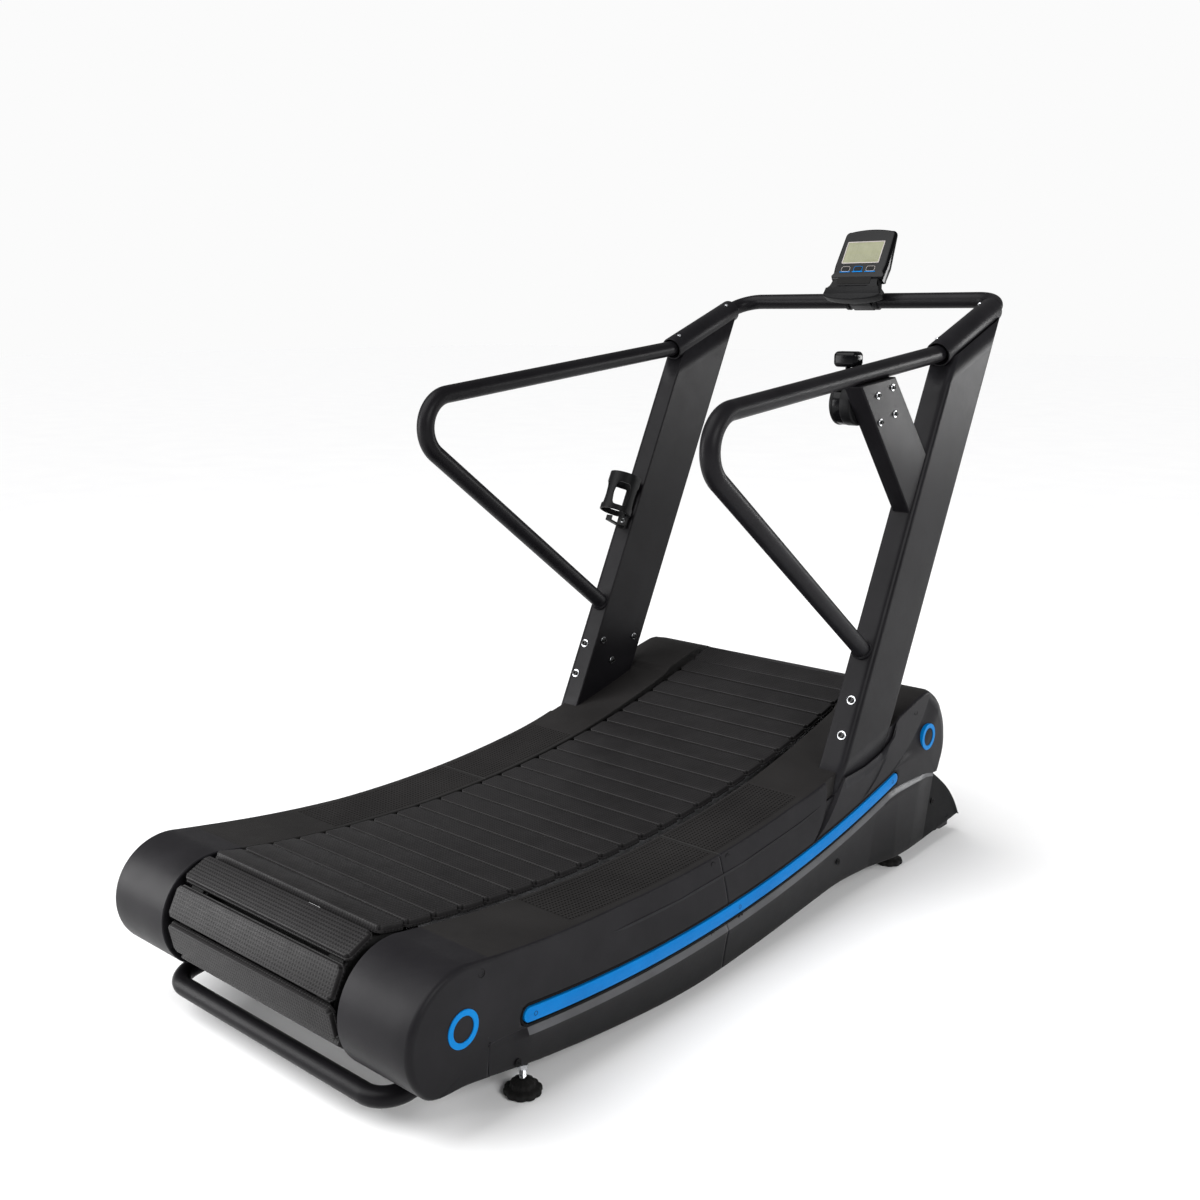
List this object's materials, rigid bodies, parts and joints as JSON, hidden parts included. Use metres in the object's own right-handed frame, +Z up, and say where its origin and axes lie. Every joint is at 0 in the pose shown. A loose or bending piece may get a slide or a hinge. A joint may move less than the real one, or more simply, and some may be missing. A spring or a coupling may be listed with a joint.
{
  "type": "curved manual treadmill",
  "caption": "Self-powered treadmill with a curved slat belt, side covers with blue trim, leaning posts, bent handles, a resistance lever and a small console.",
  "frame": {"origin": "on the floor, at the middle of the overall length and width", "axes": "+Y forward to the console, +X to the runner's right, +Z up"},
  "size_m": [0.8228, 1.9524, 1.4506],
  "materials": {
    "rubber_slat": "fine dimpled matte black",
    "cover_shell": "satin black moulding",
    "blue_trim": "satin blue",
    "black_rubber": "matte black",
    "black_plastic": "semi-gloss black",
    "screen_glass": "grey-green liquid crystal window",
    "bright_steel": "zinc plated",
    "cast_aluminium": "as cast",
    "cast_iron": "dark machined",
    "black_paint": "satin black powder coat"
  },
  "bodies": {
    "root": {"right_side_rail": "black_paint", "left_side_rail": "black_paint", "rear_foot_tube": "black_paint", "rear_cross_tube": "black_paint", "front_cross_tube": "black_paint", "front_foot_tube": "black_paint", "right_roller_track": "cast_aluminium", "left_roller_track": "cast_aluminium", "right_rear_bearing": "cast_iron", "left_rear_bearing": "cast_iron", "right_front_bearing": "cast_iron", "left_front_bearing": "cast_iron", "right_rear_cover": "cover_shell", "left_rear_cover": "cover_shell", "right_front_cover": "cover_shell", "left_front_cover": "cover_shell", "right_accent_strip": "blue_trim", "left_accent_strip": "blue_trim", "right_rear_ring": "blue_trim", "left_rear_ring": "blue_trim", "right_front_ring": "blue_trim", "left_front_ring": "blue_trim", "right_post": "black_paint", "left_post": "black_paint", "right_sleeve": "black_paint", "left_sleeve": "black_paint", "right_handle": "black_paint", "left_handle": "black_paint", "crossbar": "black_paint", "lift_bar": "black_paint", "resistance_bracket": "black_paint", "lever_housing": "black_plastic", "console_mount": "black_plastic", "console_case": "black_plastic", "console_lens": "screen_glass", "right_wheel_pin": "bright_steel", "left_wheel_pin": "bright_steel", "bottle_cage": "black_plastic"},
    "top_run": {"belt_top_run": "rubber_slat"},
    "rear_wrap": {"belt_rear_wrap": "rubber_slat"},
    "front_wrap": {"belt_front_wrap": "rubber_slat"},
    "return_run": {"belt_return_run": "rubber_slat"},
    "rear_drum": {"rear_drum": "cast_aluminium", "rear_axle": "bright_steel"},
    "front_drum": {"front_drum": "cast_aluminium", "front_axle": "bright_steel", "flywheel": "cast_iron"},
    "lever": {"lever_arm": "bright_steel", "lever_knob": "black_plastic"},
    "brake": {"brake_yoke": "cast_iron"},
    "button_left": {"console_button_left": "black_plastic"},
    "button_middle": {"console_button_middle": "black_plastic"},
    "button_right": {"console_button_right": "black_plastic"},
    "battery_door": {"battery_door": "black_plastic"},
    "right_rear_foot": {"right_rear_foot": "black_rubber"},
    "left_rear_foot": {"left_rear_foot": "black_rubber"},
    "right_front_foot": {"right_front_foot": "black_rubber"},
    "left_front_foot": {"left_front_foot": "black_rubber"},
    "right_wheel": {"right_transport_wheel": "black_rubber"},
    "left_wheel": {"left_transport_wheel": "black_rubber"}
  },
  "joints": [
    {"name": "belt_travel", "type": "hinge", "parent": "root", "child": "top_run", "pos_m": [0, -0.31338, 3.256], "axis": [1, 0, 0], "range_deg": [-0.57, 0.57]},
    {"name": "rear_wrap_turn", "type": "hinge", "parent": "root", "child": "rear_wrap", "pos_m": [0, -0.86738, 0.20042], "axis": [1, 0, 0], "range_deg": [-18.99, 18.99]},
    {"name": "front_wrap_turn", "type": "hinge", "parent": "root", "child": "front_wrap", "pos_m": [0, 0.60662, 0.29001], "axis": [1, 0, 0], "range_deg": [-18.99, 18.99]},
    {"name": "return_travel", "type": "slide", "parent": "root", "child": "return_run", "axis": [0, 0.9982, 0.0607], "range_m": [-0.0301, 0.0301]},
    {"name": "rear_drum_spin", "type": "hinge", "parent": "root", "child": "rear_drum", "pos_m": [0, -0.86738, 0.20042], "axis": [1, 0, 0], "continuous": true},
    {"name": "front_drum_spin", "type": "hinge", "parent": "root", "child": "front_drum", "pos_m": [0, 0.60662, 0.29001], "axis": [1, 0, 0], "continuous": true},
    {"name": "resistance_lever", "type": "hinge", "parent": "root", "child": "lever", "pos_m": [0.32, 0.32862, 1.064], "axis": [1, 0, 0], "range_deg": [-25, 25]},
    {"name": "brake_shift", "type": "hinge", "parent": "root", "child": "brake", "pos_m": [0.312, 0.46462, 0.262], "axis": [1, 0, 0], "range_deg": [-8, 8]},
    {"name": "button_left_press", "type": "slide", "parent": "root", "child": "button_left", "axis": [0, 0.866, -0.5], "range_m": [0, 0.0012], "stiffness_N_per_m": 800},
    {"name": "button_middle_press", "type": "slide", "parent": "root", "child": "button_middle", "axis": [0, 0.866, -0.5], "range_m": [0, 0.0012], "stiffness_N_per_m": 800},
    {"name": "button_right_press", "type": "slide", "parent": "root", "child": "button_right", "axis": [0, 0.866, -0.5], "range_m": [0, 0.0012], "stiffness_N_per_m": 800},
    {"name": "battery_door_pull", "type": "slide", "parent": "root", "child": "battery_door", "axis": [0, 0.866, -0.5], "range_m": [0, 0.02]},
    {"name": "right_rear_foot_height", "type": "slide", "parent": "root", "child": "right_rear_foot", "axis": [0, 0, 1], "range_m": [-0.02, 0.012]},
    {"name": "right_front_foot_height", "type": "slide", "parent": "root", "child": "right_front_foot", "axis": [0, 0, 1], "range_m": [-0.02, 0.012]},
    {"name": "left_rear_foot_height", "type": "slide", "parent": "root", "child": "left_rear_foot", "axis": [0, 0, 1], "range_m": [-0.02, 0.012]},
    {"name": "left_front_foot_height", "type": "slide", "parent": "root", "child": "left_front_foot", "axis": [0, 0, 1], "range_m": [-0.02, 0.012]},
    {"name": "right_wheel_spin", "type": "hinge", "parent": "root", "child": "right_wheel", "pos_m": [0.366, 0.73462, 0.046], "axis": [1, 0, 0], "continuous": true},
    {"name": "left_wheel_spin", "type": "hinge", "parent": "root", "child": "left_wheel", "pos_m": [-0.366, 0.73462, 0.046], "axis": [1, 0, 0], "continuous": true}
  ],
  "couplings": [
    {"joint": "rear_wrap_turn", "follows": "belt_travel", "ratio": -33.352},
    {"joint": "front_wrap_turn", "follows": "belt_travel", "ratio": -33.352},
    {"joint": "return_travel", "follows": "belt_travel", "m_per_rad": -3.015},
    {"joint": "rear_drum_spin", "follows": "belt_travel", "ratio": -33.352},
    {"joint": "front_drum_spin", "follows": "belt_travel", "ratio": -33.352},
    {"joint": "brake_shift", "follows": "resistance_lever", "ratio": 0.32}
  ]
}
